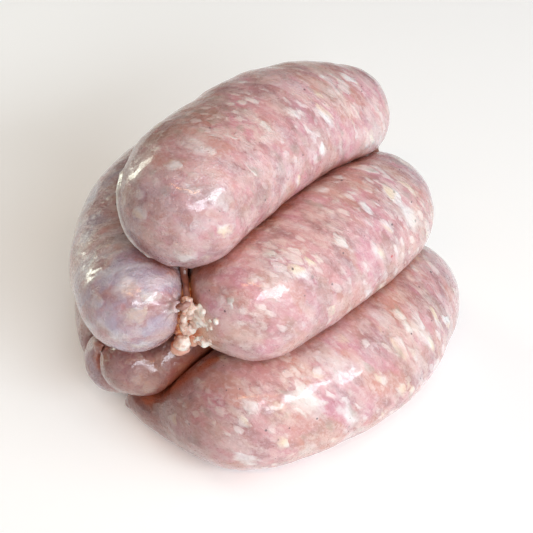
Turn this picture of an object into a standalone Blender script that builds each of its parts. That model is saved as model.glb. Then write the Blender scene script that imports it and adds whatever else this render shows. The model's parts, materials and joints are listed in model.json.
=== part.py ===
"""A string of raw pork sausage links, lying in a heap three layers deep.

The links lie on z = 0, with the two rounded ends that stand out most
turned toward -Y. Sizes are in millimetres until the mesh is made.
"""
import math

import bmesh
import bpy
import numpy as np
from mathutils import Vector

MM = 0.001
TINY = 0.000001

# Rings and segments.
SEGMENTS = 24
BODY_STEP = 3.6
CAP_RINGS = 8
SPINE_SAMPLES_PER_SPAN = 14

# How the links press on one another and on the floor.
CONTACT_GAP = 0.5
CONTACT_SOFTNESS = 1.6
SEARCH_MARGIN = 3.0
SEARCH_STEPS = 16

# Ends and casing folds.
TIP_SLIDE_POWER = 1.0
NECK_RINGS = 2
NECK_FLARE = 1.5
FOLD_COUNT = 6
FOLD_DEPTH = 0.022
FOLD_REACH = 3
SWELL_DEPTH = 0.012
SWELL_TURNS = 2.3

# Twists of empty casing between two links.
TWIST_GAP = 0.3
TWIST_RINGS = 12
TWIST_SEGMENTS = 12
TWIST_RIDGES = 3
TWIST_RIDGE_DEPTH = 0.12
TWIST_TURNS = 0.75
TWIST_WAIST = 0.66

# Filling that has come out of the burst end.
LUMP_SUBDIVISIONS = 3
LUMP_UNEVENNESS = 0.16

MEAT = ("raw_pork_meat", (0.66, 0.36, 0.32), 0.34)
CASING = ("wet_casing", (0.78, 0.62, 0.55), 0.30)

# Each link: spine points (x, y, z, radius), then the tip at either end as
# (x, y, z, radius of its neck).
LINKS = {
    "link_1": {
        "spine": [(-2.5, -18, 46, 16.6), (7.5, -8, 45, 17.0),
                  (18, 3, 44, 17.0), (27, 12.5, 42.5, 15.8)],
        "start": (-16.5, -27, 39.5, 2.2),
        "end": (28.0, 27.5, 48.0, 2.6),
    },
    "link_2": {
        "spine": [(-18.0, -11.7, 69.8, 15.9), (-16.2, -8.8, 70.6, 16.6),
                  (-9.5, 0.5, 69.5, 16.4), (-0.5, 12, 68, 16.2),
                  (10, 22.1, 65.3, 14.8), (18, 26.7, 63.2, 12.9)],
        "start": (-19.3, -17.0, 54.4, 1.2),
        "end": (25.8, 31.0, 53.5, 2.6),
    },
    "link_3": {
        "spine": [(-31.5, -20, 46, 13.0), (-34.5, -4.5, 42.5, 13.9),
                  (-29.8, 13.4, 43.2, 15.0), (-18, 26, 43.5, 15.0),
                  (-8, 36, 40, 14.6)],
        "start": (-20.4, -28.2, 51.2, 1.0),
        "end": (-5.0, 50.0, 30.5, 2.2),
    },
    "link_4": {
        "spine": [(-38.2, -12.6, 15.2, 8.6), (-36.2, -7.5, 11.6, 11.0),
                  (-37.8, 4, 12.5, 13.2), (-37, 18, 13.4, 14.2),
                  (-31, 31, 13.2, 14.2), (-22, 39.5, 12.6, 13.4)],
        "start": (-41.6, -15.6, 23.8, 1.5),
        "end": (-9.5, 49.0, 16.5, 2.2),
    },
    "link_5": {
        "spine": [(-33.2, -20.8, 23.0, 7.8), (-30.6, -20.0, 21.2, 9.2),
                  (-25, -15.5, 22.4, 10.7), (-17.5, -7.7, 22.3, 13.0),
                  (-8, 6, 22, 14.0), (0, 17, 18, 14.6), (5, 29, 13.6, 14.4)],
        "start": (-40.0, -20.4, 28.2, 1.4),
        "end": (18.0, 39.5, 11.5, 2.2),
    },
    "link_6": {
        "spine": [(-29, -18.6, 8.2, 7.0), (-23.5, -23.2, 8.4, 7.8),
                  (-16, -25.8, 11.7, 12.5), (-6, -28, 15.6, 16.6),
                  (7, -23, 16, 17.2), (20, -15, 16, 17.2),
                  (29, -6, 16, 17), (35, 7, 15.8, 16.6)],
        "start": (-36.0, -18.6, 5.4, 1.8),
        "end": (35.0, 25.5, 12.0, 2.2),
    },
}

# Pairs of link ends that a twist of casing joins, and how far it runs on
# from both ends before it turns, as a share of the way between them.
TWISTS = {
    "twist_1_2": (("link_1", "end"), ("link_2", "end"), 0.45),
    "twist_2_3": (("link_2", "start"), ("link_3", "start"), 0.5),
    "twist_3_4": (("link_3", "end"), ("link_4", "end"), 0.45),
    "twist_4_5": (("link_4", "start"), ("link_5", "start"), 0.45),
    "twist_5_6": (("link_5", "end"), ("link_6", "end"), 0.45),
}

# Lumps of filling at the burst end: centre and half-sizes.
LUMPS = [
    ((-16.3, -25.0, 45.2), (1.6, 1.8, 2.6)),
    ((-16.6, -25.2, 42.0), (2.2, 2.0, 2.3)),
    ((-14.6, -27.0, 40.0), (2.3, 2.2, 2.0)),
    ((-18.0, -27.0, 39.4), (2.0, 1.8, 2.0)),
    ((-20.4, -28.0, 37.4), (2.1, 2.0, 2.1)),
]


def clear_scene():
    """Remove every object the file starts with."""
    for item in list(bpy.data.objects):
        bpy.data.objects.remove(item, do_unlink=True)


def make_collection(name, cutters=False):
    """Add a collection to the scene."""
    group = bpy.data.collections.new(name)
    bpy.context.scene.collection.children.link(group)
    group.hide_render = cutters
    return group


def make_material(name, colour, roughness):
    """A plain Principled material."""
    material = bpy.data.materials.new(name)
    material.use_nodes = True
    shader = material.node_tree.nodes["Principled BSDF"]
    shader.inputs["Base Color"].default_value = (*colour, 1.0)
    shader.inputs["Roughness"].default_value = roughness
    shader.inputs["Metallic"].default_value = 0.0
    return material


def spline(points):
    """Smooth curve through the rows, one row of numbers per sample."""
    rows = np.array(points, dtype=float)
    first = 2 * rows[0] - rows[1]
    last = 2 * rows[-1] - rows[-2]
    padded = np.vstack([first, rows, last])
    samples = []
    for i in range(1, len(padded) - 2):
        a, b, c, d = padded[i - 1:i + 3]
        for k in range(SPINE_SAMPLES_PER_SPAN):
            t = k / SPINE_SAMPLES_PER_SPAN
            samples.append(0.5 * (2 * b + (c - a) * t
                                  + (2 * a - 5 * b + 4 * c - d) * t ** 2
                                  + (3 * b - a - 3 * c + d) * t ** 3))
    samples.append(rows[-1])
    return np.array(samples)


def resample(curve, step):
    """Rows at an even spacing along the curve."""
    spans = np.linalg.norm(np.diff(curve[:, :3], axis=0), axis=1)
    lengths = np.concatenate([[0.0], np.cumsum(spans)])
    count = max(4, round(lengths[-1] / step))
    marks = np.linspace(0.0, lengths[-1], count + 1)
    columns = [np.interp(marks, lengths, curve[:, i]) for i in range(4)]
    return np.stack(columns, axis=1)


def unit(vector):
    """The vector at length one."""
    return vector / np.linalg.norm(vector)


def frames(centres):
    """Tangent, side and up directions carried along the spine."""
    tangents = [unit(t) for t in np.gradient(centres, axis=0)]
    side = unit(np.cross(tangents[0], (0.0, 0.0, 1.0)))
    result = []
    for tangent in tangents:
        side = unit(side - tangent * np.dot(side, tangent))
        result.append((tangent, side, np.cross(side, tangent)))
    return result


def turn(vectors, axis, angle):
    """Vectors turned about an axis by an angle."""
    dots = vectors @ axis
    return (vectors * math.cos(angle) + np.cross(axis, vectors) * math.sin(angle)
            + np.outer(dots, axis) * (1 - math.cos(angle)))


def circle(side, up):
    """Unit directions round the ring."""
    angles = [2 * math.pi * k / SEGMENTS for k in range(SEGMENTS)]
    return np.array([side * math.cos(a) + up * math.sin(a) for a in angles])


def folds():
    """Gathers of the casing round a tip, one number per segment."""
    angles = 2 * math.pi * np.arange(SEGMENTS) / SEGMENTS
    return np.cos(FOLD_COUNT * angles)


def cap_rings(centre, frame, radius, tip):
    """Offsets from the centre for the rings that close one end.

    The end is a ball whose rings slide round it toward the tip, and the
    last rings rise off the ball as a neck.
    """
    outward, side, up = frame
    reach = np.array(tip[:3]) - centre
    height = np.linalg.norm(reach)
    pole = reach / height
    lean = math.acos(np.clip(np.dot(pole, outward), -1.0, 1.0))
    axis = unit(np.cross(outward, pole) + TINY * side)
    neck = tip[3]
    last = math.acos(neck * NECK_FLARE / radius)
    directions = circle(side, up)
    rings = []
    for k in range(1, CAP_RINGS + 1):
        t = k / CAP_RINGS
        angle = last * t
        ring = directions * math.cos(angle) + outward * math.sin(angle)
        ring = turn(ring, axis, lean * t ** TIP_SLIDE_POWER)
        gather = 1 - FOLD_DEPTH * t ** FOLD_REACH * folds()[:, None]
        rings.append(ring * radius * gather)
    across = turn(directions, axis, lean)
    base = radius * math.sin(last)
    for k in range(1, NECK_RINGS + 1):
        t = k / NECK_RINGS
        width = neck * (1 + (NECK_FLARE - 1) * (1 - t) ** 2)
        rings.append(across * width + pole * (base + (height - base) * t))
    return rings


def link_rays(link):
    """Origins, unit directions and lengths for every point of a link."""
    rows = resample(spline(link["spine"]), BODY_STEP)
    centres = rows[:, :3]
    axes = frames(centres)
    tangent, side, up = axes[0]
    start = cap_rings(centres[0], (-tangent, side, up), rows[0][3],
                      link["start"])
    end = cap_rings(centres[-1], axes[-1], rows[-1][3], link["end"])
    body = []
    for index, row in enumerate(rows):
        swell = 1 + SWELL_DEPTH * math.sin(SWELL_TURNS * index)
        body.append(circle(*axes[index][1:]) * row[3] * swell)
    origins = [centres[0]] * len(start) + list(centres)
    origins += [centres[-1]] * len(end)
    offsets = np.array(start[::-1] + body + end)
    lengths = np.linalg.norm(offsets, axis=2)
    rays = offsets / lengths[:, :, None]
    centres = np.repeat(np.array(origins), SEGMENTS, axis=0)
    return centres, rays.reshape(-1, 3), lengths.reshape(-1)


def distance_to_link(points, samples):
    """Distance from each point to the round skin of a link."""
    offsets = points[:, None, :] - samples[None, :, :3]
    distances = np.linalg.norm(offsets, axis=2) - samples[None, :, 3]
    return distances.min(axis=1)


def soft_minimum(first, second, softness):
    """The smaller of two arrays, rounded where they meet."""
    blend = np.clip(0.5 + 0.5 * (second - first) / softness, 0.0, 1.0)
    mixed = second * (1 - blend) + first * blend
    return mixed - softness * blend * (1 - blend)


def press(centres, rays, lengths, own, others):
    """Shorten the rays where a neighbouring link presses on this one."""
    low = np.zeros(len(lengths))
    high = lengths + SEARCH_MARGIN
    for _ in range(SEARCH_STEPS):
        middle = 0.5 * (low + high)
        points = centres + rays * middle[:, None]
        here = distance_to_link(points, own) + CONTACT_GAP
        there = np.min([distance_to_link(points, o) for o in others], axis=0)
        clear = here <= there
        low = np.where(clear, middle, low)
        high = np.where(clear, high, middle)
    return soft_minimum(lengths, low, CONTACT_SOFTNESS)


def link_points(name, samples):
    """Ring points of a link after pressing and resting on the floor."""
    centres, rays, lengths = link_rays(LINKS[name])
    others = [samples[key] for key in LINKS if key != name]
    lengths = press(centres, rays, lengths, samples[name], others)
    down = np.minimum(rays[:, 2], -TINY)
    to_floor = np.where(rays[:, 2] < 0, centres[:, 2] / -down, np.inf)
    lengths = np.minimum(lengths, to_floor)
    points = centres + rays * lengths[:, None]
    return points.reshape(-1, SEGMENTS, 3)


def tube_mesh(name, rings):
    """A closed tube through the rings, flat at both ends."""
    mesh = bpy.data.meshes.new(name)
    shape = bmesh.new()
    loops = [[shape.verts.new(Vector(p) * MM) for p in ring] for ring in rings]
    for first, second in zip(loops, loops[1:]):
        for k in range(len(first)):
            following = (k + 1) % len(first)
            shape.faces.new((first[k], first[following],
                             second[following], second[k]))
    shape.faces.new(loops[0][::-1])
    shape.faces.new(loops[-1])
    bmesh.ops.recalc_face_normals(shape, faces=shape.faces)
    shape.to_mesh(mesh)
    shape.free()
    return mesh


def add_object(name, mesh, group, material):
    """Put a mesh in the collection with its material."""
    item = bpy.data.objects.new(name, mesh)
    item.data.materials.append(material)
    group.objects.link(item)
    return item


def end_frame(link, end):
    """Tip, outward direction, side direction and neck radius of an end."""
    tip = np.array(LINKS[link][end][:3])
    body = np.array(LINKS[link]["spine"][0 if end == "start" else -1][:3])
    outward = unit(tip - body)
    side = unit(np.cross(outward, (0.0, 0.0, 1.0)))
    return tip, outward, side, LINKS[link][end][3]


def bezier(start, first, second, end, t):
    """A point on a cubic curve."""
    s = 1 - t
    return (s ** 3 * start + 3 * s ** 2 * t * first
            + 3 * s * t ** 2 * second + t ** 3 * end)


def twist_rings(start, end, pull_share):
    """Rings of the casing twisted between two link ends."""
    first = end_frame(*start)
    second = end_frame(*end)
    begin = first[0] + first[1] * TWIST_GAP
    finish = second[0] + second[1] * TWIST_GAP
    pull = pull_share * np.linalg.norm(finish - begin)
    path = [bezier(begin, begin + first[1] * pull, finish + second[1] * pull,
                   finish, k / TWIST_RINGS) for k in range(TWIST_RINGS + 1)]
    tangents = [unit(t) for t in np.gradient(np.array(path), axis=0)]
    tangents[0] = first[1]
    tangents[-1] = -second[1]
    side = first[2]
    rings = []
    for k, (centre, tangent) in enumerate(zip(path, tangents)):
        t = k / TWIST_RINGS
        side = unit(side - tangent * np.dot(side, tangent))
        up = np.cross(tangent, side)
        radius = first[3] + (second[3] - first[3]) * t
        radius *= 1 - (1 - TWIST_WAIST) * math.sin(math.pi * t)
        rings.append(twist_ring(centre, side, up, radius, t))
    return rings


def twist_ring(centre, side, up, radius, t):
    """One ring of a twist, with its ridges turned along the way."""
    ring = []
    for k in range(TWIST_SEGMENTS):
        angle = 2 * math.pi * k / TWIST_SEGMENTS
        turned = TWIST_RIDGES * (angle + 2 * math.pi * TWIST_TURNS * t)
        ridge = 1 - TWIST_RIDGE_DEPTH * (1 - math.cos(turned))
        ray = side * math.cos(angle) + up * math.sin(angle)
        ring.append(centre + ray * radius * ridge)
    return ring


def make_lump(index, centre, sizes, group):
    """One uneven lump of filling."""
    shape = bmesh.new()
    bmesh.ops.create_icosphere(shape, subdivisions=LUMP_SUBDIVISIONS,
                               radius=1.0)
    for vertex in shape.verts:
        x, y, z = vertex.co
        wave = math.sin(3 * x + index) * math.cos(4 * y + 2 * index)
        uneven = 1 + LUMP_UNEVENNESS * (wave + 0.5 * math.sin(5 * z + index))
        point = [centre[i] + vertex.co[i] * sizes[i] * uneven for i in range(3)]
        vertex.co = Vector(point) * MM
    mesh = bpy.data.meshes.new(f"lump_{index}")
    shape.to_mesh(mesh)
    shape.free()
    item = bpy.data.objects.new(f"lump_{index}", mesh)
    item.display_type = "WIRE"
    group.objects.link(item)


def join_lumps(target, group):
    """Fuse the lumps of filling into the burst link."""
    union = target.modifiers.new("filling", "BOOLEAN")
    union.operation = "UNION"
    union.operand_type = "COLLECTION"
    union.collection = group
    union.solver = "EXACT"
    bpy.context.view_layer.objects.active = target
    bpy.ops.object.modifier_apply(modifier=union.name)
    for item in list(group.objects):
        bpy.data.objects.remove(item, do_unlink=True)


def centre_on_floor(items):
    """Shift all so that the middle of the footprint is the origin."""
    corners = np.array([v.co for item in items for v in item.data.vertices])
    low = corners.min(axis=0)
    high = corners.max(axis=0)
    shift = Vector((-(low[0] + high[0]) / 2, -(low[1] + high[1]) / 2, -low[2]))
    for item in items:
        for vertex in item.data.vertices:
            vertex.co += shift


def main():
    """Build the string of sausages."""
    clear_scene()
    group = make_collection("sausage_links")
    cutters = make_collection("cutters", cutters=True)
    meat = make_material(*MEAT)
    casing = make_material(*CASING)
    samples = {name: spline(link["spine"]) for name, link in LINKS.items()}
    items = []
    for name in LINKS:
        mesh = tube_mesh(name, link_points(name, samples))
        items.append(add_object(name, mesh, group, meat))
    for index, (centre, sizes) in enumerate(LUMPS):
        make_lump(index, centre, sizes, cutters)
    join_lumps(items[0], cutters)
    for name, ends in TWISTS.items():
        mesh = tube_mesh(name, twist_rings(*ends))
        items.append(add_object(name, mesh, group, casing))
    centre_on_floor(items)


main()
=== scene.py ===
"""Raw pork sausage links in a heap: the finished look around the solid part."""

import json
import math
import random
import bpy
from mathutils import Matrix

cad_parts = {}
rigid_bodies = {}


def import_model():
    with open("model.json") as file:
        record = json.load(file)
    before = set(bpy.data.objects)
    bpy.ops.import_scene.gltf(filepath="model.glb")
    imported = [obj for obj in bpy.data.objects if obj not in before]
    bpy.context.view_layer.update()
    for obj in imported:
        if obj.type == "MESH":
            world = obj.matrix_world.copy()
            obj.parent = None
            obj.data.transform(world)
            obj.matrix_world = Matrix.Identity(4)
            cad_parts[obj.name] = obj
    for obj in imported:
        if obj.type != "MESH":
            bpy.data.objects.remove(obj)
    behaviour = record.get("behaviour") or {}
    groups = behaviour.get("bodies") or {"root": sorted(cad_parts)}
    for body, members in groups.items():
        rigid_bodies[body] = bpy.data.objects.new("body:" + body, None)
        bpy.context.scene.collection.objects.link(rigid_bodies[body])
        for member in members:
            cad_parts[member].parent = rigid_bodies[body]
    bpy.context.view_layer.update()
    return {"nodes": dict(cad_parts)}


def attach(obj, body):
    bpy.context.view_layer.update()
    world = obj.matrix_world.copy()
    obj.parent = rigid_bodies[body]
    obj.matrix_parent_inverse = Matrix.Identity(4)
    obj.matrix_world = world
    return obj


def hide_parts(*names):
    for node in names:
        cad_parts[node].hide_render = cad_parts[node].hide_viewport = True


bl_info = {
    "name": "Sausage Links",
    "version": (1, 0, 0),
    "blender": (4, 5, 0),
    "location": "View3D > Sidebar > Sausages",
    "description": "Dresses a heap of raw pork sausage links",
    "category": "Object",
}

import bpy
import numpy as np
from mathutils import Vector
from mathutils.bvhtree import BVHTree

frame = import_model()

LINKS = ["link_1", "link_2", "link_3", "link_4", "link_5", "link_6"]
TWISTS = ["twist_1_2", "twist_2_3", "twist_3_4", "twist_4_5", "twist_5_6"]

# How much milky skin lies over the meat of each link, from clear to veiled.
# The ends of a link begin END_FROM of the way out, and have more skin.
VEIL = {"link_1": 0.08, "link_2": 0.10, "link_3": 0.64,
        "link_4": 0.35, "link_5": 0.06, "link_6": 0.08}
END_FROM = 0.72
END_VEIL = 0.30
# Painted shade: how far each link is darkened brown where it lies in shade,
# and how much more toward the left, where less light falls.
LINK_SHADE = {"link_1": 0.0, "link_2": 0.0, "link_3": 0.05,
         "link_4": 0.40, "link_5": 1.00, "link_6": 0.0}
LEFT_SHADE = {"link_1": 0.30, "link_2": 0.75, "link_3": 0.45,
              "link_4": 0.40, "link_5": 0.15, "link_6": 1.30}
# Where the painted shade toward the left begins, over what distance it grows,
# and how strong the painted shade is beside a fold.
SHADE_FROM = -0.004
SHADE_OVER = 0.030
BESIDE_FOLD_SHADE = 0.6

# How far from its neighbour a link is stained with juice and painted crease
# shade, and how high off the floor it carries juice and painted shade near the
# floor.
CREASE_REACH = 0.0060
FLOOR_JUICE_SHADE_HEIGHT = 0.0110

# The burst end: its middle, how far its juice has spread, and how much of
# that shows on the other links.
BURST = (-0.0172, -0.0315, 0.0430)
BURST_REACH = 0.021
BURST_ELSEWHERE = 0.35

# The meshes: the distance within which points merge, the angles in degrees
# up to which faces join, the levels of subdivision, and the most triangles.
MERGE = 0.000001
FLAT_ANGLE = 0.2
QUAD_ANGLE = 50
LINK_LEVELS = 3
TWIST_LEVELS = 2
MOST_TRIANGLES = 190000

# The size of the lumps and of the grains under a link's skin.
LUMP_SIZE = 0.0085
GRAIN_SIZE = 0.0030
# How far a twist's casing is swollen, and the size and height of its folds.
TWIST_SWELL = 0.0001
TWIST_FOLD_SIZE = 0.0016
TWIST_FOLD_HEIGHT = 0.0006

# Ridges of folded casing: the link, the height and the width of the ridge,
# how pale it is, and the pixels of the photo that it runs through.
FOLDS = [
    ("link_2", 0.00055, 0.0008, 1.0,
     [(131, 154), (123, 170), (119, 190), (121, 212), (126, 232), (140, 248),
      (156, 259)]),
    ("link_3", 0.00012, 0.0007, 0.35,
     [(82, 292), (98, 277), (120, 269), (140, 266), (156, 266)]),
]
# How many steps lead from one pixel of a line to the next, and how many to
# each side a fold is evened out over.
PATH_STEPS = 14
FOLD_EASE = 18
# How far beside a ridge the painted shade of its crease lies, and how wide that
# band is.
SHADE_BAND_AWAY = 0.0024
SHADE_BAND_WIDTH = 0.0015
# Pale casing gathered at the far end of the top link: the link, the pixel,
# its reach, how much of that is pale all over, and how pale it is.
GATHER = ("link_2", (375, 137), 0.0055)
GATHER_FULL = 0.3
GATHER_PALE = 0.45

# Where fat lies thick: the link, a pixel of the photo and how far it reaches.
# It also lies thick at the right ends, from FAR_FROM of the way out.
RICH = [
    ("link_6", (300, 396), 0.009), ("link_6", (246, 405), 0.006),
    ("link_6", (410, 325), 0.006), ("link_1", (398, 190), 0.009),
    ("link_1", (295, 255), 0.005), ("link_2", (348, 108), 0.009),
    ("link_2", (205, 120), 0.006), ("link_5", (140, 380), 0.006),
    ("link_2", (262, 128), 0.005), ("link_3", (130, 330), 0.007),
]
FAR_FAT = 0.55
FAR_FROM = 0.30
FAR_OVER = 0.35
# A red fleck under the skin: the link and the pixel it shows at, and its size.
FLECK = ("link_1", (391, 256), 0.0006)

# Crumbs of filling at the burst end, by the piece they belong to: the middle
# of a patch in the photo and its half-sizes in pixels, how many crumbs, and
# their smallest and largest radius.
CRUMBS = {
    "cream_crumbs": [
        (197, 315, 8, 10, 110, 0.0004, 0.0010),
        (190, 329, 7, 6, 50, 0.0004, 0.0009),
        (207, 325, 6, 5, 22, 0.0004, 0.0007),
        (217, 321, 1, 1, 2, 0.0007, 0.0009),
    ],
    "strand_crumbs": [
        (186, 300, 3, 2, 14, 0.0004, 0.0007),
        (184, 311, 1, 9, 26, 0.0004, 0.0008),
        (184, 326, 2, 7, 22, 0.0004, 0.0008),
        (191, 305, 1, 6, 12, 0.0004, 0.0007),
    ],
    "pale_lump": [
        (182, 343, 2, 2, 6, 0.0015, 0.0019),
        (182, 338, 7, 2, 22, 0.0004, 0.0008),
        (203, 341, 9, 4, 20, 0.0005, 0.0009),
    ],
}
# The seed of the scatter, how far from the burst end a crumb may lie, how
# unevenly it is stretched, and the voxels that fuse them. The size and the
# height of the unevenness on the fused crumbs.
CRUMB_SEED = 7
CRUMB_SPREAD = 0.014
CRUMB_STRETCH = (0.75, 1.25)
CRUMB_VOXEL = 0.00024
CRUMB_GRAIN = 0.0008
CRUMB_RELIEF = 0.0004

# Juice that bridges two links: the links, and the pixels it runs through
# with its radius.
FILM_LINKS = ("link_1", "link_3")
FILM = [(184, 283, 0.0013), (179, 300, 0.0015),
        (176, 318, 0.0016), (176, 334, 0.0015)]
# Creases that juice has run along, painted darker with juice and crease shade:
# the links, the pixels and its reach.
CREASE_TRAILS = [
    (("link_5", "link_6"), [(214, 359), (190, 375), (166, 393)], 0.0030),
    (("link_4", "link_5"), [(99, 338), (98, 350), (101, 366)], 0.0028),
    (("link_1", "link_3"), [(186, 276), (192, 300), (190, 330)], 0.0034),
]

# The side that a link's grain is set for, and how its pieces lean there. The
# factor across a link, under 1 to draw the pieces out, and its fall toward
# the right end. Where they begin to shorten along the link, and how much.
# How far apart the grains of two links are.
GRAIN_FACES = (0.0, -0.7, 0.7)
GRAIN_LEAN = 0.35
GRAIN_DRAW = 0.84
GRAIN_DRAW_FALL = 0.38
GRAIN_SHORT_FROM = 0.1
GRAIN_SHORTEN = 0.25
GRAIN_APART = 0.37

# The camera: what it looks at, its elevation in degrees, its distance and
# its lens, half its sensor in millimetres and half its frame in pixels.
VIEW_TARGET = (0.0, -0.00524, 0.036)
VIEW_ELEVATION = 45.0
VIEW_DISTANCE = 0.320
VIEW_LENS = 85.4
HALF_SENSOR = 18.0
HALF_FRAME = 266.5

# The lights: the name, the azimuth and elevation in degrees and the distance
# from the middle of the heap, the width and height, the watts and the colour.
HEAP_MIDDLE = (0.0, 0.0, 0.036)
LIGHTS = [
    ("window", 34, 34, 0.9, (0.80, 0.17), 6.6, (0.82, 0.91, 1.0)),
    ("room", 66, 30, 1.2, (1.0, 0.8), 4.2, (0.83, 0.91, 1.0)),
    ("overhead", 50, 72, 1.1, (0.8, 0.8), 2.4, (1.0, 0.94, 0.88)),
    ("side_window", -122, 14, 0.9, (0.14, 0.60), 3.0, (0.93, 1.0, 0.84)),
    ("lamp", -2, 56, 0.8, (0.55, 0.025), 1.0, (1.0, 0.50, 0.18)),
]
AMBIENT = (1.0, 0.94, 0.90, 1.0)
AMBIENT_STRENGTH = 0.17
FLOOR_SIZE = 6.0
FLOOR_GLOW = 0.13

# Colours of the lean meat and its fat.
WARM_LEAN = (0.56, 0.28, 0.21)
ROSE_LEAN = (0.60, 0.26, 0.32)
GREY_LEAN = (0.36, 0.24, 0.19)
MOTTLE = (0.74, 0.60, 0.55)
MARBLE = (0.72, 0.55, 0.55)
FIBRE = (0.80, 0.66, 0.66)
SMALL_FAT = (0.81, 0.72, 0.69)
CREAM_FAT = (0.80, 0.66, 0.50)
GRISTLE = (0.38, 0.32, 0.26)
# Tints that darken the meat: warmth in random patches, and the brown of the
# painted shade.
WARMTH = (0.98, 0.90, 0.80)
SHADE_TINT = (0.41, 0.24, 0.19)
# Colours of what lies on the meat.
MILKY_SKIN = (0.66, 0.64, 0.68)
RED_FLECK = (0.48, 0.02, 0.03)
PEPPER = (0.09, 0.06, 0.07)
HERBS = (0.20, 0.19, 0.17)
TAN = (0.64, 0.34, 0.18)
FOLDED_CASING = (0.70, 0.71, 0.66)
# Colours of the twists, the crumbs, the film of juice and the floor; the twists
# and crumbs darken with juice and painted shade near the links.
TWIST_DARK = (0.46, 0.28, 0.24)
TWIST_PALE = (0.66, 0.50, 0.45)
TWIST_JUICE_AND_SHADE = (0.20, 0.045, 0.018)
CRUMB_MEAT = (0.60, 0.38, 0.31)
CRUMB_FAT = (0.80, 0.70, 0.60)
CRUMB_PALE = (0.88, 0.84, 0.77)
CRUMB_JUICE_AND_SHADE = (0.44, 0.14, 0.05)
THICK_JUICE = (0.32, 0.07, 0.02)
THIN_JUICE = (0.58, 0.24, 0.09)
FLOOR_DARK = (0.90, 0.90, 0.89)
FLOOR_PALE = (0.93, 0.93, 0.925)
# How light passes into anything wet: its reach in red, green and blue.
SOFT_REACH = (1.0, 0.35, 0.25)
SOFT_SCALE = 0.0018


# Settings


class SausageSettings(bpy.types.PropertyGroup):
    """Sizes and colours a user may change."""

    swell: bpy.props.FloatProperty(
        name="Swell", description="How far the skin stands off the solid",
        default=0.00032, unit="LENGTH")
    relief: bpy.props.FloatProperty(
        name="Relief", description="Height of the lumps under the skin",
        default=0.0006, unit="LENGTH")
    fine_relief: bpy.props.FloatProperty(
        name="Fine relief", description="Height of the grains under the skin",
        default=0.00028, unit="LENGTH")
    meat: bpy.props.FloatVectorProperty(
        name="Meat", description="Pink of the lean meat",
        default=(0.58, 0.30, 0.305), subtype="COLOR")
    meat_deep: bpy.props.FloatVectorProperty(
        name="Deep meat", description="Darker red of the lean meat",
        default=(0.38, 0.18, 0.18), subtype="COLOR")
    fat: bpy.props.FloatVectorProperty(
        name="Fat", description="Cream of the fat",
        default=(0.80, 0.76, 0.74), subtype="COLOR")
    skin: bpy.props.FloatVectorProperty(
        name="Skin", description="Lilac grey of the wet casing",
        default=(0.37, 0.36, 0.46), subtype="COLOR")
    # The crease colour: juice, and painted shade where links meet.
    juice: bpy.props.FloatVectorProperty(
        name="Juice", description="Orange brown of juice in the creases",
        default=(0.44, 0.10, 0.028), subtype="COLOR")


# Materials


class Value:
    """A number in the node tree that takes part in Python's sums."""

    def __init__(self, shader, socket):
        self.shader = shader
        self.socket = socket

    def math(self, operation, *others):
        """This number and others put through a Math node."""
        sockets = {0: self}
        sockets.update({i + 1: other for i, other in enumerate(others)})
        return self.shader.node("ShaderNodeMath", {"operation": operation},
                                sockets)

    def __add__(self, other):
        return self.math("ADD", other)

    def __sub__(self, other):
        return self.math("SUBTRACT", other)

    def __rsub__(self, other):
        return self.math("MULTIPLY", -1.0) + other

    def __mul__(self, other):
        return self.math("MULTIPLY", other)

    __radd__ = __add__
    __rmul__ = __mul__

    def rise(self, low, high):
        """Zero below low, one above high, smooth between."""
        sockets = {"Value": self, "From Min": low, "From Max": high}
        return self.shader.node("ShaderNodeMapRange",
                                {"interpolation_type": "SMOOTHSTEP"}, sockets)


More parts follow.
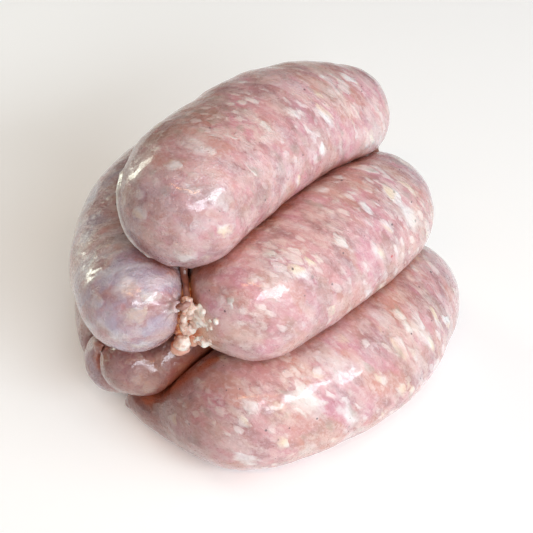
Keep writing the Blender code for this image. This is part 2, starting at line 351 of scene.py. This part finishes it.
class Shader:
    """One material and the nodes that make it."""

    def __init__(self, name):
        self.material = bpy.data.materials.new(name)
        self.material.use_nodes = True
        self.tree = self.material.node_tree
        self.surface = self.tree.nodes["Principled BSDF"]

    def node(self, kind, settings=None, sockets=None, output=0):
        """Add a node, set it up and hand back one of its outputs."""
        node = self.tree.nodes.new(kind)
        for key, setting in (settings or {}).items():
            setattr(node, key, setting)
        for key, given in (sockets or {}).items():
            self.feed(node.inputs[key], given)
        return Value(self, node.outputs[output])

    def feed(self, socket, given):
        """Link a value to a socket, or set the socket's own number."""
        if isinstance(given, Value):
            self.tree.links.new(given.socket, socket)
        elif socket.type == "RGBA":
            socket.default_value = (*given[:3], 1.0)
        else:
            socket.default_value = given

    def attribute(self, name, output="Fac"):
        """What a piece has stored on its vertices under a name."""
        return self.node("ShaderNodeAttribute", {"attribute_name": name},
                         output=output)

    def coordinates(self):
        """The place on the object."""
        return self.node("ShaderNodeTexCoord", output="Object")

    def noise(self, where, scale, detail=2.0, rough=0.5, output="Fac"):
        """A cloudy noise."""
        sockets = {"Vector": where, "Scale": scale, "Detail": detail,
                   "Roughness": rough}
        return self.node("ShaderNodeTexNoise", {}, sockets, output)

    def cells(self, where, scale):
        """Distance from each cell's middle, and a number for each cell."""
        sockets = {"Vector": where, "Scale": scale}
        distance = self.node("ShaderNodeTexVoronoi", {}, sockets)
        colour = Value(self, distance.socket.node.outputs["Color"])
        split = self.node("ShaderNodeSeparateColor", {}, {0: colour})
        return distance, split

    def noise_channels(self, where, scale):
        """Three separate noises as values."""
        colour = self.noise(where, scale, 2.0, 0.55, "Color")
        first = self.node("ShaderNodeSeparateColor", {}, {0: colour})
        outputs = first.socket.node.outputs
        return [Value(self, outputs[index]) for index in range(3)]

    def vector(self, operation, first, second):
        """Two vectors put through a Vector Math node."""
        return self.node("ShaderNodeVectorMath", {"operation": operation},
                         {0: first, 1: second})

    def scaled(self, where, factor):
        """A vector times a number."""
        return self.node("ShaderNodeVectorMath", {"operation": "SCALE"},
                         {0: where, "Scale": factor})

    def stirred(self, where, scale, amount):
        """Coordinates pushed about by a noise."""
        swirl = self.noise(where, scale, 2.0, 0.5, "Color")
        swirl = self.vector("SUBTRACT", swirl, (0.5, 0.5, 0.5))
        return self.vector("ADD", where, self.scaled(swirl, amount))

    def mix(self, factor, first, second, blend="MIX"):
        """From the first colour to the second, or the two blended."""
        settings = {"data_type": "RGBA", "blend_type": blend}
        return self.node("ShaderNodeMix", settings,
                         {0: factor, 6: first, 7: second}, 2)

    def bump(self, height, distance, normal=None):
        """A surface raised by a height, on top of another bump."""
        sockets = {"Height": height, "Distance": distance}
        if normal is not None:
            sockets["Normal"] = normal
        return self.node("ShaderNodeBump", {}, sockets)

    def finish(self, **inputs):
        """Feed the surface's sockets and hand back the material."""
        for key, given in inputs.items():
            self.feed(self.surface.inputs[key.replace("_", " ")], given)
        return self.material


def fat_pieces(shader, where, scale, share, ragged):
    """Soft-edged pieces of fat, one number from 0 to 1."""
    distance, chance = shader.cells(where, scale)
    edge = shader.noise(where, scale * 2.2, 3.0, 0.6)
    reach = chance - (1.0 - share) + (edge - 0.5) * ragged
    return (reach - distance).rise(-0.26, 0.12)


def specks(shader, where, scale, size):
    """Small round specks, one number from 0 to 1."""
    distance, chance = shader.cells(where, scale)
    return (chance * size - distance).rise(0.0, size * 0.4)


def lean_colour(shader, settings, where):
    """Lean meat in uneven pinks, browns and greys."""
    patches = shader.noise(where, 190.0, 3.0, 0.6)
    colour = shader.mix(patches.rise(0.37, 0.60), settings.meat_deep[:],
                        settings.meat[:])
    warm, grey, rose = shader.noise_channels(where, 130.0)
    colour = shader.mix(warm.rise(0.46, 0.62) * 0.60, colour, WARM_LEAN)
    colour = shader.mix(rose.rise(0.50, 0.66) * 0.65, colour, ROSE_LEAN)
    return shader.mix(grey.rise(0.55, 0.64) * 0.42, colour, GREY_LEAN)


def marbled(shader, settings, grain, where, small, crowd, marble):
    """Lean meat with its fat, and how high the fat stands in it."""
    rich = shader.attribute("rich")
    clots = fat_pieces(shader, where, 150.0, rich * 0.28 + 0.27, 0.80)
    big_fat = fat_pieces(shader, where, 270.0, rich * 0.25 + 0.37, 0.75)
    mid_fat = fat_pieces(shader, small, 480.0, rich * 0.25 + 0.41, 0.75)
    gristle = fat_pieces(shader, where, 290.0, 0.26, 0.80)
    mottle = shader.noise(small, 230.0, 4.0, 0.65).rise(0.47, 0.62)
    fibres = shader.noise(small, 1000.0, 4.0, 0.72).rise(0.48, 0.66)
    faint = shader.noise(where, 240.0, 1.0, 0.5).rise(0.34, 0.60)
    tint = shader.noise(grain, 170.0, 1.0, 0.5).rise(0.47, 0.6)
    cream = shader.mix(tint, settings.fat[:], CREAM_FAT)
    colour = lean_colour(shader, settings, where)
    colour = shader.mix(mottle * (0.36 + rich * 0.3), colour, MOTTLE)
    colour = shader.mix(marble * 0.36, colour, MARBLE)
    colour = shader.mix(fibres * 0.28, colour, FIBRE)
    colour = shader.mix(mid_fat * (0.28 + crowd * 0.45), colour, SMALL_FAT)
    colour = shader.mix(big_fat * (0.40 + faint * 0.55), colour, cream)
    colour = shader.mix(clots * (0.40 + crowd * 0.50), colour,
                        settings.fat[:])
    colour = shader.mix(gristle * 0.50, colour, GRISTLE)
    return colour, big_fat * 0.5 + mid_fat * 0.3 + marble * 0.35


def warmed_and_shaded(shader, colour, place):
    """Warmer in soft patches, and darkened brown where painted shade is stored.
    """
    warm = shader.noise(place, 55.0, 2.0, 0.5).rise(0.42, 0.62)
    colour = shader.mix(warm * 0.6, colour, WARMTH, "MULTIPLY")
    # Painted shade: darker links low in the heap, a darker left side and a band
    # beside the folds.
    brown = shader.attribute("brown")
    return shader.mix(brown, colour, SHADE_TINT, "MULTIPLY")


def veiled(shader, settings, colour, where, veil):
    """Milky skin in streaks over the meat."""
    streak = shader.noise(where, 150.0, 3.0, 0.6).rise(0.38, 0.62)
    film = veil * (0.25 + streak * 0.75)
    milky = shader.noise(where, 90.0, 2.0, 0.5).rise(0.46, 0.60)
    skin = shader.mix(milky, settings.skin[:], MILKY_SKIN)
    return shader.mix(film * 0.90, colour, skin)


def seasoned(shader, colour, place):
    """The red fleck, pepper and herbs."""
    link, pixel, size = FLECK
    spot = seen_place(pixel, [search_tree(link)])
    away = shader.node("ShaderNodeVectorMath", {"operation": "DISTANCE"},
                       {0: place, 1: spot}, 1)
    fleck = (size - away).rise(0.0, size * 0.6)
    colour = shader.mix(fleck, colour, RED_FLECK)
    pepper = specks(shader, place, 330.0, 0.13)
    colour = shader.mix(pepper * 0.80, colour, PEPPER)
    herbs = specks(shader, place, 190.0, 0.10)
    return shader.mix(herbs * 0.5, colour, HERBS)


def stained_and_shaded(shader, settings, colour, crowd, marble):
    """Juice and painted shade in the creases, juice round the burst end, and
    pale folds.
    """
    burst = shader.attribute("burst")
    juice = shader.attribute("juice")
    fold = shader.attribute("fold")
    tan = (burst * 1.6 + (crowd - 0.5) * 0.8).rise(0.35, 1.0)
    colour = shader.mix(tan * 0.55, colour, TAN)
    # Juice and painted crease shade, and juice round the burst end.
    stain_and_shade = (juice + burst * 0.45) * (0.75 + marble * 0.25)
    colour = shader.mix(stain_and_shade.rise(0.32, 0.98) * 0.85, colour,
                        settings.juice[:])
    return shader.mix(fold * 0.75, colour, FOLDED_CASING)


def meat_material(settings):
    """Coarse pork under a thin wet skin."""
    shader = Shader("raw_pork_meat")
    grain = shader.attribute("grain", "Vector")
    place = shader.coordinates()
    veil = shader.attribute("veil")
    where = shader.stirred(grain, 300.0, 0.0026)
    small = shader.stirred(grain, 700.0, 0.0013)
    crowd = shader.noise(grain, 75.0, 1.0, 0.5).rise(0.34, 0.66)
    marble = shader.noise(small, 330.0, 5.0, 0.70).rise(0.47, 0.64)
    colour, lumps = marbled(shader, settings, grain, where, small, crowd,
                            marble)
    # Random warm patches, then the painted shade.
    colour = warmed_and_shaded(shader, colour, place)
    colour = veiled(shader, settings, colour, where, veil)
    colour = seasoned(shader, colour, place)
    colour = stained_and_shaded(shader, settings, colour, crowd, marble)
    grains = shader.noise(place, 1300.0, 3.0, 0.65)
    normal = shader.bump(lumps, 0.00028)
    normal = shader.bump(grains, 0.00010, normal)
    breaks = shader.noise(place, 900.0, 4.0, 0.7).rise(0.38, 0.62)
    rough = 0.20 + grains * 0.20 - veil * 0.05
    material = shader.finish(Base_Color=colour, Roughness=rough,
                             Coat_Weight=0.50 + breaks * 0.50, Normal=normal)
    set_wet(shader, 0.12)
    return material


def set_wet(shader, soft, coat=None):
    """Constant values of a wet, slightly see-through surface.

    Without a coat here, the material feeds its own.
    """
    inputs = shader.surface.inputs
    inputs["Subsurface Weight"].default_value = soft
    inputs["Subsurface Radius"].default_value = SOFT_REACH
    inputs["Subsurface Scale"].default_value = SOFT_SCALE
    inputs["Specular IOR Level"].default_value = 0.5
    if coat is not None:
        inputs["Coat Weight"].default_value = coat
    inputs["Coat Roughness"].default_value = 0.10
    inputs["Coat IOR"].default_value = 1.38


def casing_material():
    """Empty twisted casing, pale and wet."""
    shader = Shader("wet_casing")
    where = shader.coordinates()
    juice = shader.attribute("juice")
    threads = shader.noise(shader.stirred(where, 300.0, 0.003), 900.0, 3.0)
    colour = shader.mix(threads.rise(0.35, 0.65), TWIST_DARK, TWIST_PALE)
    # Darker with juice and painted shade where the twist meets the links.
    soaked_and_shaded = (juice + (threads - 0.5) * 0.9).rise(0.20, 0.90)
    colour = shader.mix(soaked_and_shaded * 0.92, colour, TWIST_JUICE_AND_SHADE)
    normal = shader.bump(threads, 0.0002)
    rough = 0.24 + threads * 0.12
    material = shader.finish(Base_Color=colour, Roughness=rough, Normal=normal)
    set_wet(shader, 0.20, 0.5)
    return material


def filling_material():
    """Filling that has come out: fat and meat crumbs in their juice."""
    shader = Shader("loose_filling")
    where = shader.coordinates()
    juice = shader.attribute("juice")
    patches = shader.noise(where, 480.0, 3.0, 0.6)
    colour = shader.mix(patches.rise(0.40, 0.60), CRUMB_MEAT, CRUMB_FAT)
    pale = shader.noise(where, 420.0, 2.0).rise(0.44, 0.58)
    colour = shader.mix(pale * 0.8, colour, CRUMB_PALE)
    # Darker with juice, and with painted shade near the other links.
    soaked_and_shaded = (juice + (patches - 0.5) * 1.4).rise(0.20, 1.00)
    colour = shader.mix(soaked_and_shaded * 0.85, colour, CRUMB_JUICE_AND_SHADE)
    normal = shader.bump(shader.noise(where, 2200.0, 3.0), 0.00030)
    rough = 0.34 + patches * 0.2
    material = shader.finish(Base_Color=colour, Roughness=rough, Normal=normal)
    set_wet(shader, 0.2, 0.35)
    return material


def juice_material():
    """Meat juice that has dried a little, orange brown and glossy."""
    shader = Shader("meat_juice")
    where = shader.coordinates()
    depth = shader.noise(where, 500.0, 3.0)
    colour = shader.mix(depth.rise(0.40, 0.62), THICK_JUICE, THIN_JUICE)
    normal = shader.bump(shader.noise(where, 900.0, 2.0), 0.0002)
    rough = 0.20 + depth * 0.15
    material = shader.finish(Base_Color=colour, Roughness=rough, Normal=normal)
    set_wet(shader, 0.3, 0.6)
    return material


def board_material():
    """Plain pale floor."""
    shader = Shader("pale_floor")
    where = shader.coordinates()
    tone = shader.noise(where, 6.0, 2.0)
    colour = shader.mix(tone, FLOOR_DARK, FLOOR_PALE)
    shader.surface.inputs["Emission Color"].default_value = (1, 1, 1, 1)
    shader.surface.inputs["Emission Strength"].default_value = FLOOR_GLOW
    return shader.finish(Base_Color=colour, Roughness=0.6)


# Modelling


def deselect():
    """Nothing selected, nothing active, object mode."""
    if bpy.context.object and bpy.context.object.mode != "OBJECT":
        bpy.ops.object.mode_set(mode="OBJECT")
    bpy.ops.object.select_all(action="DESELECT")


def make_active(item):
    """Select one object alone."""
    deselect()
    item.select_set(True)
    bpy.context.view_layer.objects.active = item


def copy_node(name, piece_name):
    """A copy of a solid with its mesh joined up into quads."""
    node = frame["nodes"][name]
    item = bpy.data.objects.new(piece_name, node.data.copy())
    bpy.context.scene.collection.objects.link(item)
    make_active(item)
    bpy.ops.object.mode_set(mode="EDIT")
    bpy.ops.mesh.select_all(action="SELECT")
    bpy.ops.mesh.remove_doubles(threshold=MERGE)
    bpy.ops.mesh.dissolve_limited(angle_limit=math.radians(FLAT_ANGLE))
    bpy.ops.mesh.quads_convert_to_tris()
    most = math.radians(QUAD_ANGLE)
    bpy.ops.mesh.tris_convert_to_quads(face_threshold=most,
                                       shape_threshold=most)
    bpy.ops.object.mode_set(mode="OBJECT")
    return item


def apply_modifier(item, kind, **settings):
    """Add a modifier, set it up and apply it."""
    make_active(item)
    modifier = item.modifiers.new(kind.lower(), kind)
    for key, setting in settings.items():
        setattr(modifier, key, setting)
    bpy.ops.object.modifier_apply(modifier=modifier.name)


def clouds(name, size):
    """A cloud texture for raising a surface."""
    texture = bpy.data.textures.new(name, "CLOUDS")
    texture.noise_scale = size
    texture.noise_depth = 2
    return texture


def subdivide(item, levels):
    """Round the faces off."""
    apply_modifier(item, "SUBSURF", levels=levels, render_levels=levels)


def swell(item, amount):
    """Push the whole surface out evenly."""
    apply_modifier(item, "DISPLACE", strength=amount, mid_level=0.0)


def roughen(item, texture, amount):
    """Raise and lower the surface by a texture."""
    apply_modifier(item, "DISPLACE", texture=texture, strength=amount,
                   mid_level=0.5, texture_coords="LOCAL")


def thin_out(item):
    """Fewer faces, where a piece has more than it may."""
    count = sum(len(face.vertices) - 2 for face in item.data.polygons)
    if count > MOST_TRIANGLES:
        apply_modifier(item, "DECIMATE", ratio=MOST_TRIANGLES / count)


def keep_on_floor(item):
    """Flatten what would reach below the floor."""
    for vertex in item.data.vertices:
        vertex.co.z = max(vertex.co.z, 0.0)


def smooth(item):
    """Smooth shading all over."""
    make_active(item)
    bpy.ops.object.shade_smooth()


def vertex_places(mesh):
    """Every vertex place as rows."""
    places = np.zeros(len(mesh.vertices) * 3)
    mesh.vertices.foreach_get("co", places)
    return places.reshape(-1, 3)


def long_axes(places):
    """Middle of a link, and axes along it, across it and toward the front."""
    middle = places.mean(axis=0)
    _, _, axes = np.linalg.svd(places - middle, full_matrices=False)
    along = axes[0] * (1.0 if axes[0][0] > 0 else -1.0)
    front = np.array(GRAIN_FACES) - along * np.dot(GRAIN_FACES, along)
    front /= np.linalg.norm(front)
    across = np.cross(front, along)
    return middle, np.stack([along, across, front])


def add_attribute(mesh, name, kind, numbers):
    """Store numbers on the vertices under a name."""
    field = "vector" if kind == "FLOAT_VECTOR" else "value"
    attribute = mesh.attributes.new(name, kind, "POINT")
    attribute.data.foreach_set(field, np.asarray(numbers, np.float32).ravel())


def grain_coordinates(places, seed):
    """Coordinates in a link that its pattern of pieces follows.

    The pieces lean a little, and are drawn out round the link, more so
    toward the right end. Also hands back how far along each point is.
    """
    middle, axes = long_axes(places)
    local = (places - middle) @ axes.T
    half = np.abs(local[:, 0]).max()
    along = local[:, 0] / half
    lean = GRAIN_LEAN * local[:, 1]
    far = np.clip(along - GRAIN_SHORT_FROM, 0.0, 1.0)
    drawn = GRAIN_DRAW - GRAIN_DRAW_FALL * (along + 1.0) / 2.0
    grain = np.stack([local[:, 0] + lean + half * GRAIN_SHORTEN * far ** 2,
                      local[:, 1] * drawn, local[:, 2] * drawn], axis=1)
    return grain + seed * GRAIN_APART, along


def camera_place():
    """Where the camera stands, and the direction from the heap to it."""
    e = math.radians(VIEW_ELEVATION)
    away = Vector((0.0, -math.cos(e), math.sin(e)))
    return Vector(VIEW_TARGET) + away * VIEW_DISTANCE, away


def seen_place(pixel, trees):
    """Where the line of sight through a pixel first meets a solid."""
    start, away = camera_place()
    right = Vector((1.0, 0.0, 0.0))
    field = HALF_SENSOR / VIEW_LENS / HALF_FRAME
    line = (right * (pixel[0] - HALF_FRAME) * field
            + away.cross(right) * (HALF_FRAME - pixel[1]) * field - away)
    hits = [tree.ray_cast(start, line.normalized()) for tree in trees]
    hits = [hit for hit in hits if hit[0] is not None]
    if not hits:
        return None
    return min(hits, key=lambda hit: hit[3])[0]


def steps_along(stops):
    """Rows of numbers in even steps from each stop to the next."""
    for first, second in zip(stops, stops[1:]):
        for k in range(PATH_STEPS):
            t = k / PATH_STEPS
            yield [a + (b - a) * t for a, b in zip(first, second)]


def seen_along(pixels, trees):
    """Places that show along a line of pixels, without the misses."""
    places = [seen_place(pixel, trees) for pixel in steps_along(pixels)]
    return [place for place in places if place is not None]


def fold_points(name, pixels):
    """Places on a link along a line of pixels, evened out."""
    tree = search_tree(name)
    points = np.array(seen_along(pixels, [tree]))
    longer = np.pad(points, ((FOLD_EASE, FOLD_EASE), (0, 0)), "edge")
    mean = [longer[k:k + 2 * FOLD_EASE + 1].mean(axis=0)
            for k in range(len(points))]
    return np.array([tree.find_nearest(Vector(point))[0] for point in mean])


def distance_to(places, points):
    """Distance from each place to the nearest of a few points."""
    nearest = np.full(len(places), np.inf)
    for point in points:
        nearest = np.minimum(nearest, np.linalg.norm(places - point, axis=1))
    return nearest


def soft_spot(distance, reach):
    """One in the middle, fading out round its reach."""
    return np.exp(-(distance / reach) ** 2)


def raise_folds(item, name):
    """Lift the ridges of folded casing.

    Hands back how pale they are, and how strong the painted shade is beside
    them.
    """
    places = vertex_places(item.data)
    normals = np.zeros(places.size)
    item.data.vertices.foreach_get("normal", normals)
    fold = np.zeros(len(places))
    fold_shade = np.zeros(len(places))
    for link, height, width, pale, pixels in FOLDS:
        if link != name:
            continue
        distance = distance_to(places, fold_points(name, pixels))
        ridge = soft_spot(distance, width)
        places += normals.reshape(-1, 3) * (ridge * height)[:, None]
        fold = np.maximum(fold, ridge * pale)
        # Painted shade in the crease beside the ridge.
        shade_band = soft_spot(distance - SHADE_BAND_AWAY, SHADE_BAND_WIDTH)
        fold_shade = np.maximum(fold_shade, shade_band * pale)
    item.data.vertices.foreach_set("co", places.ravel())
    item.data.update()
    return fold, fold_shade


def tree_of(mesh):
    """A mesh's faces, ready for searches."""
    points = [vertex.co for vertex in mesh.vertices]
    faces = [face.vertices[:] for face in mesh.polygons]
    return BVHTree.FromPolygons(points, faces)


def search_tree(name):
    """A solid's faces, ready for searches."""
    return tree_of(frame["nodes"][name].data)


def crease_juice_and_shade(name, places):
    """How near each point is to another link, from 0 to 1: juice and painted
    crease shade.
    """
    nearest = np.full(len(places), CREASE_REACH)
    for other in LINKS:
        if other == name:
            continue
        tree = search_tree(other)
        for index, place in enumerate(places):
            hit = tree.find_nearest(Vector(place), nearest[index])
            if hit[0] is not None:
                nearest[index] = hit[3]
    return 1.0 - nearest / CREASE_REACH


def burst_nearness(name, places):
    """How near each point is to the burst end, from 0 to 1."""
    away = np.linalg.norm(places - np.array(BURST), axis=1)
    share = 1.0 if name == "link_1" else BURST_ELSEWHERE
    return share * np.clip(1.0 - away / BURST_REACH, 0.0, 1.0)


def floor_juice_and_shade(places):
    """Juice that has run down to the floor, and painted shade low by the floor,
    from 0 to 1.
    """
    return np.clip(1.0 - places[:, 2] / FLOOR_JUICE_SHADE_HEIGHT, 0.0, 1.0)


def trail_juice_and_shade(name, places):
    """How much juice and painted crease shade lies along the creases in sight,
    from 0 to 1.
    """
    amount = np.zeros(len(places))
    for links, pixels, reach in CREASE_TRAILS:
        if name in links:
            trees = [search_tree(link) for link in links]
            distance = distance_to(places, seen_along(pixels, trees))
            amount = np.maximum(amount, soft_spot(distance, reach))
    return amount


def gathered(name, places):
    """How near each point is to the casing gathered at the far end."""
    link, pixel, reach = GATHER
    if link != name:
        return np.zeros(len(places))
    middle = seen_place(pixel, [search_tree(name)])
    nearness = 1.0 + GATHER_FULL - distance_to(places, [middle]) / reach
    return np.clip(nearness, 0.0, 1.0)


def fat_richness(name, places, along):
    """Where fat lies thick, from 0 to 1: the right ends and a few places."""
    rich = FAR_FAT * np.clip((along - FAR_FROM) / FAR_OVER, 0.0, 1.0)
    for link, pixel, reach in RICH:
        if link == name:
            middle = seen_place(pixel, [search_tree(name)])
            near = soft_spot(distance_to(places, [middle]), reach)
            rich = np.maximum(rich, near)
    return rich


def paint_link(item, name, seed, fold, fold_shade):
    """Store what the meat's pattern needs on the vertices."""
    places = vertex_places(item.data)
    grain, along = grain_coordinates(places, seed)
    ends = np.clip((np.abs(along) - END_FROM) / (1.0 - END_FROM), 0.0, 1.0)
    # Painted shade: whole links in shade, more of it toward the left, and
    # beside the folds.
    left = np.clip((SHADE_FROM - places[:, 0]) / SHADE_OVER, 0.0, 1.0)
    brown = LINK_SHADE[name] + LEFT_SHADE[name] * left + BESIDE_FOLD_SHADE * fold_shade
    # Juice and painted shade in the creases and near the floor.
    stains_and_shade = [crease_juice_and_shade(name, places), floor_juice_and_shade(places),
              trail_juice_and_shade(name, places)]
    gather = GATHER_PALE * gathered(name, places)
    numbers = {
        "veil": VEIL[name] + (1.0 - VEIL[name]) * END_VEIL * ends,
        "brown": np.clip(brown, 0.0, 1.0),
        "juice": np.max(stains_and_shade, axis=0),
        "burst": burst_nearness(name, places),
        "fold": np.maximum(fold, gather),
        "rich": fat_richness(name, places, along),
    }
    add_attribute(item.data, "grain", "FLOAT_VECTOR", grain)
    for attribute, amount in numbers.items():
        add_attribute(item.data, attribute, "FLOAT", amount)


def give_material(item, material):
    """One material all over."""
    item.data.materials.clear()
    item.data.materials.append(material)


def stand_in(item, *nodes):
    """The piece rides with the part and stands for these solids."""
    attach(item, "root")
    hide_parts(*nodes)


# Crumbs and juice


def lay_film(trees):
    """Set overlapping balls of juice where two links meet."""
    walls = [search_tree(name) for name in FILM_LINKS]
    for x, y, radius in steps_along(FILM):
        spot = seen_place((x, y), trees)
        sides = [wall.find_nearest(spot)[0] for wall in walls]
        add_crumb((sides[0] + sides[1]) / 2, radius)


def scatter_crumbs(draw, trees, patch):
    """Set small balls of filling on what shows at a patch of the photo."""
    x, y, wide, high, count, smallest, largest = patch
    for _ in range(count):
        angle = draw.uniform(0.0, 2 * math.pi)
        reach = math.sqrt(draw.random())
        pixel = (x + wide * reach * math.cos(angle),
                 y + high * reach * math.sin(angle))
        radius = draw.uniform(smallest, largest)
        stretch = [draw.uniform(*CRUMB_STRETCH) for _ in range(3)]
        spot = seen_place(pixel, trees)
        if spot is None or (spot - Vector(BURST)).length > CRUMB_SPREAD:
            continue
        add_crumb(spot, radius, stretch)


def add_crumb(spot, radius, stretch=(1.0, 1.0, 1.0)):
    """One loose ball, to be joined with its neighbours."""
    bpy.ops.mesh.primitive_ico_sphere_add(subdivisions=2, radius=radius,
                                          location=spot)
    bpy.context.object.scale = stretch
    bpy.context.object.name = "crumb"


def fuse_crumbs(name, uneven):
    """Fuse every loose crumb into one lumpy piece at the origin."""
    deselect()
    crumbs = [item for item in bpy.context.scene.objects
              if item.name.startswith("crumb")]
    for item in crumbs:
        item.select_set(True)
    bpy.context.view_layer.objects.active = crumbs[0]
    bpy.ops.object.join()
    bpy.ops.object.transform_apply()
    piece = bpy.context.object
    piece.name = name
    apply_modifier(piece, "REMESH", mode="VOXEL", voxel_size=CRUMB_VOXEL)
    roughen(piece, uneven, CRUMB_RELIEF)
    apply_modifier(piece, "SMOOTH", factor=0.5, iterations=1)
    smooth(piece)
    return piece


# Lights


def add_area_light(name, place, size, power, colour):
    """A soft rectangular light aimed at the heap."""
    data = bpy.data.lights.new(name, "AREA")
    data.shape = "RECTANGLE"
    data.size, data.size_y = size
    data.energy = power
    data.color = colour
    item = bpy.data.objects.new(name, data)
    item.location = place
    aim = Vector(HEAP_MIDDLE) - Vector(place)
    item.rotation_euler = aim.to_track_quat("-Z", "Y").to_euler()
    bpy.context.scene.collection.objects.link(item)


def around(azimuth, elevation, distance):
    """A place round the heap; azimuth 0 is the front, 90 the right."""
    a, e = math.radians(azimuth), math.radians(elevation)
    return (distance * math.sin(a) * math.cos(e),
            -distance * math.cos(a) * math.cos(e),
            HEAP_MIDDLE[2] + distance * math.sin(e))


# Operators


class SAUSAGE_OT_links(bpy.types.Operator):
    """Make the skinned links over the solids"""

    bl_idname = "sausage.links"
    bl_label = "Links"

    def execute(self, context):
        settings = context.scene.sausage_settings
        material = meat_material(settings)
        coarse = clouds("lumps_under_skin", LUMP_SIZE)
        fine = clouds("grains_under_skin", GRAIN_SIZE)
        for index, name in enumerate(LINKS):
            item = copy_node(name, "skin_" + name)
            subdivide(item, LINK_LEVELS)
            swell(item, settings.swell)
            roughen(item, coarse, settings.relief)
            roughen(item, fine, settings.fine_relief)
            thin_out(item)
            folds = raise_folds(item, name)
            keep_on_floor(item)
            smooth(item)
            paint_link(item, name, index, *folds)
            give_material(item, material)
            stand_in(item, name)
        return {"FINISHED"}


class SAUSAGE_OT_twists(bpy.types.Operator):
    """Make the twists of casing between the links"""

    bl_idname = "sausage.twists"
    bl_label = "Twists"

    def execute(self, context):
        material = casing_material()
        fine = clouds("casing_folds", TWIST_FOLD_SIZE)
        for name in TWISTS:
            item = copy_node(name, "casing_" + name)
            subdivide(item, TWIST_LEVELS)
            swell(item, TWIST_SWELL)
            roughen(item, fine, TWIST_FOLD_HEIGHT)
            smooth(item)
            # Juice and painted shade where the twist meets the links.
            add_attribute(item.data, "juice", "FLOAT",
                          crease_juice_and_shade(name, vertex_places(item.data)))
            give_material(item, material)
            stand_in(item, name)
        return {"FINISHED"}


class SAUSAGE_OT_filling(bpy.types.Operator):
    """Scatter crumbs and juice over the burst end"""

    bl_idname = "sausage.filling"
    bl_label = "Filling"

    def execute(self, context):
        material = filling_material()
        draw = random.Random(CRUMB_SEED)
        trees = [search_tree(name) for name in LINKS]
        uneven = clouds("crumb_unevenness", CRUMB_GRAIN)
        lay_film(trees)
        film = fuse_crumbs("juice_film", uneven)
        give_material(film, juice_material())
        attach(film, "root")
        trees.append(tree_of(film.data))
        for name, patches in CRUMBS.items():
            for patch in patches:
                scatter_crumbs(draw, trees, patch)
            item = fuse_crumbs(name, uneven)
            places = vertex_places(item.data)
            # Juice and painted shade near the other links.
            add_attribute(item.data, "juice", "FLOAT",
                          crease_juice_and_shade("link_1", places))
            give_material(item, material)
            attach(item, "root")
        return {"FINISHED"}


class SAUSAGE_OT_stage(bpy.types.Operator):
    """Add the floor, the lights and the camera"""

    bl_idname = "sausage.stage"
    bl_label = "Stage"

    def execute(self, context):
        deselect()
        bpy.ops.mesh.primitive_plane_add(size=FLOOR_SIZE)
        floor = context.object
        floor.name = "floor"
        floor.data.materials.append(board_material())
        for name, azimuth, elevation, distance, *rest in LIGHTS:
            place = around(azimuth, elevation, distance)
            add_area_light(name, place, *rest)
        self.add_world(context)
        self.add_camera(context)
        context.scene.view_settings.view_transform = "Standard"
        return {"FINISHED"}

    def add_world(self, context):
        """Even light from all round."""
        world = bpy.data.worlds.new("studio")
        world.use_nodes = True
        background = world.node_tree.nodes["Background"]
        background.inputs["Color"].default_value = AMBIENT
        background.inputs["Strength"].default_value = AMBIENT_STRENGTH
        context.scene.world = world

    def add_camera(self, context):
        """The camera at the photo's viewing angle."""
        data = bpy.data.cameras.new("camera")
        data.lens = VIEW_LENS
        data.clip_start = 0.01
        item = bpy.data.objects.new("camera", data)
        item.location, away = camera_place()
        item.rotation_euler = (-away).to_track_quat("-Z", "Y").to_euler()
        context.scene.collection.objects.link(item)
        context.scene.camera = item


class SAUSAGE_PT_panel(bpy.types.Panel):
    """Lists the steps and the settings"""

    bl_idname = "SAUSAGE_PT_panel"
    bl_label = "Sausage Links"
    bl_space_type = "VIEW_3D"
    bl_region_type = "UI"
    bl_category = "Sausages"

    def draw(self, context):
        layout = self.layout
        settings = context.scene.sausage_settings
        for name in settings.__annotations__:
            layout.prop(settings, name)
        for step in STEPS:
            layout.operator(step.bl_idname)


STEPS = (SAUSAGE_OT_links, SAUSAGE_OT_twists, SAUSAGE_OT_filling,
         SAUSAGE_OT_stage)
CLASSES = (SausageSettings, *STEPS, SAUSAGE_PT_panel)


def register():
    for item in CLASSES:
        bpy.utils.register_class(item)
    pointer = bpy.props.PointerProperty(type=SausageSettings)
    bpy.types.Scene.sausage_settings = pointer


def unregister():
    del bpy.types.Scene.sausage_settings
    for item in reversed(CLASSES):
        bpy.utils.unregister_class(item)


def main():
    register()
    bpy.ops.sausage.links()
    bpy.ops.sausage.twists()
    bpy.ops.sausage.filling()
    bpy.ops.sausage.stage()


if __name__ == "__main__":
    main()
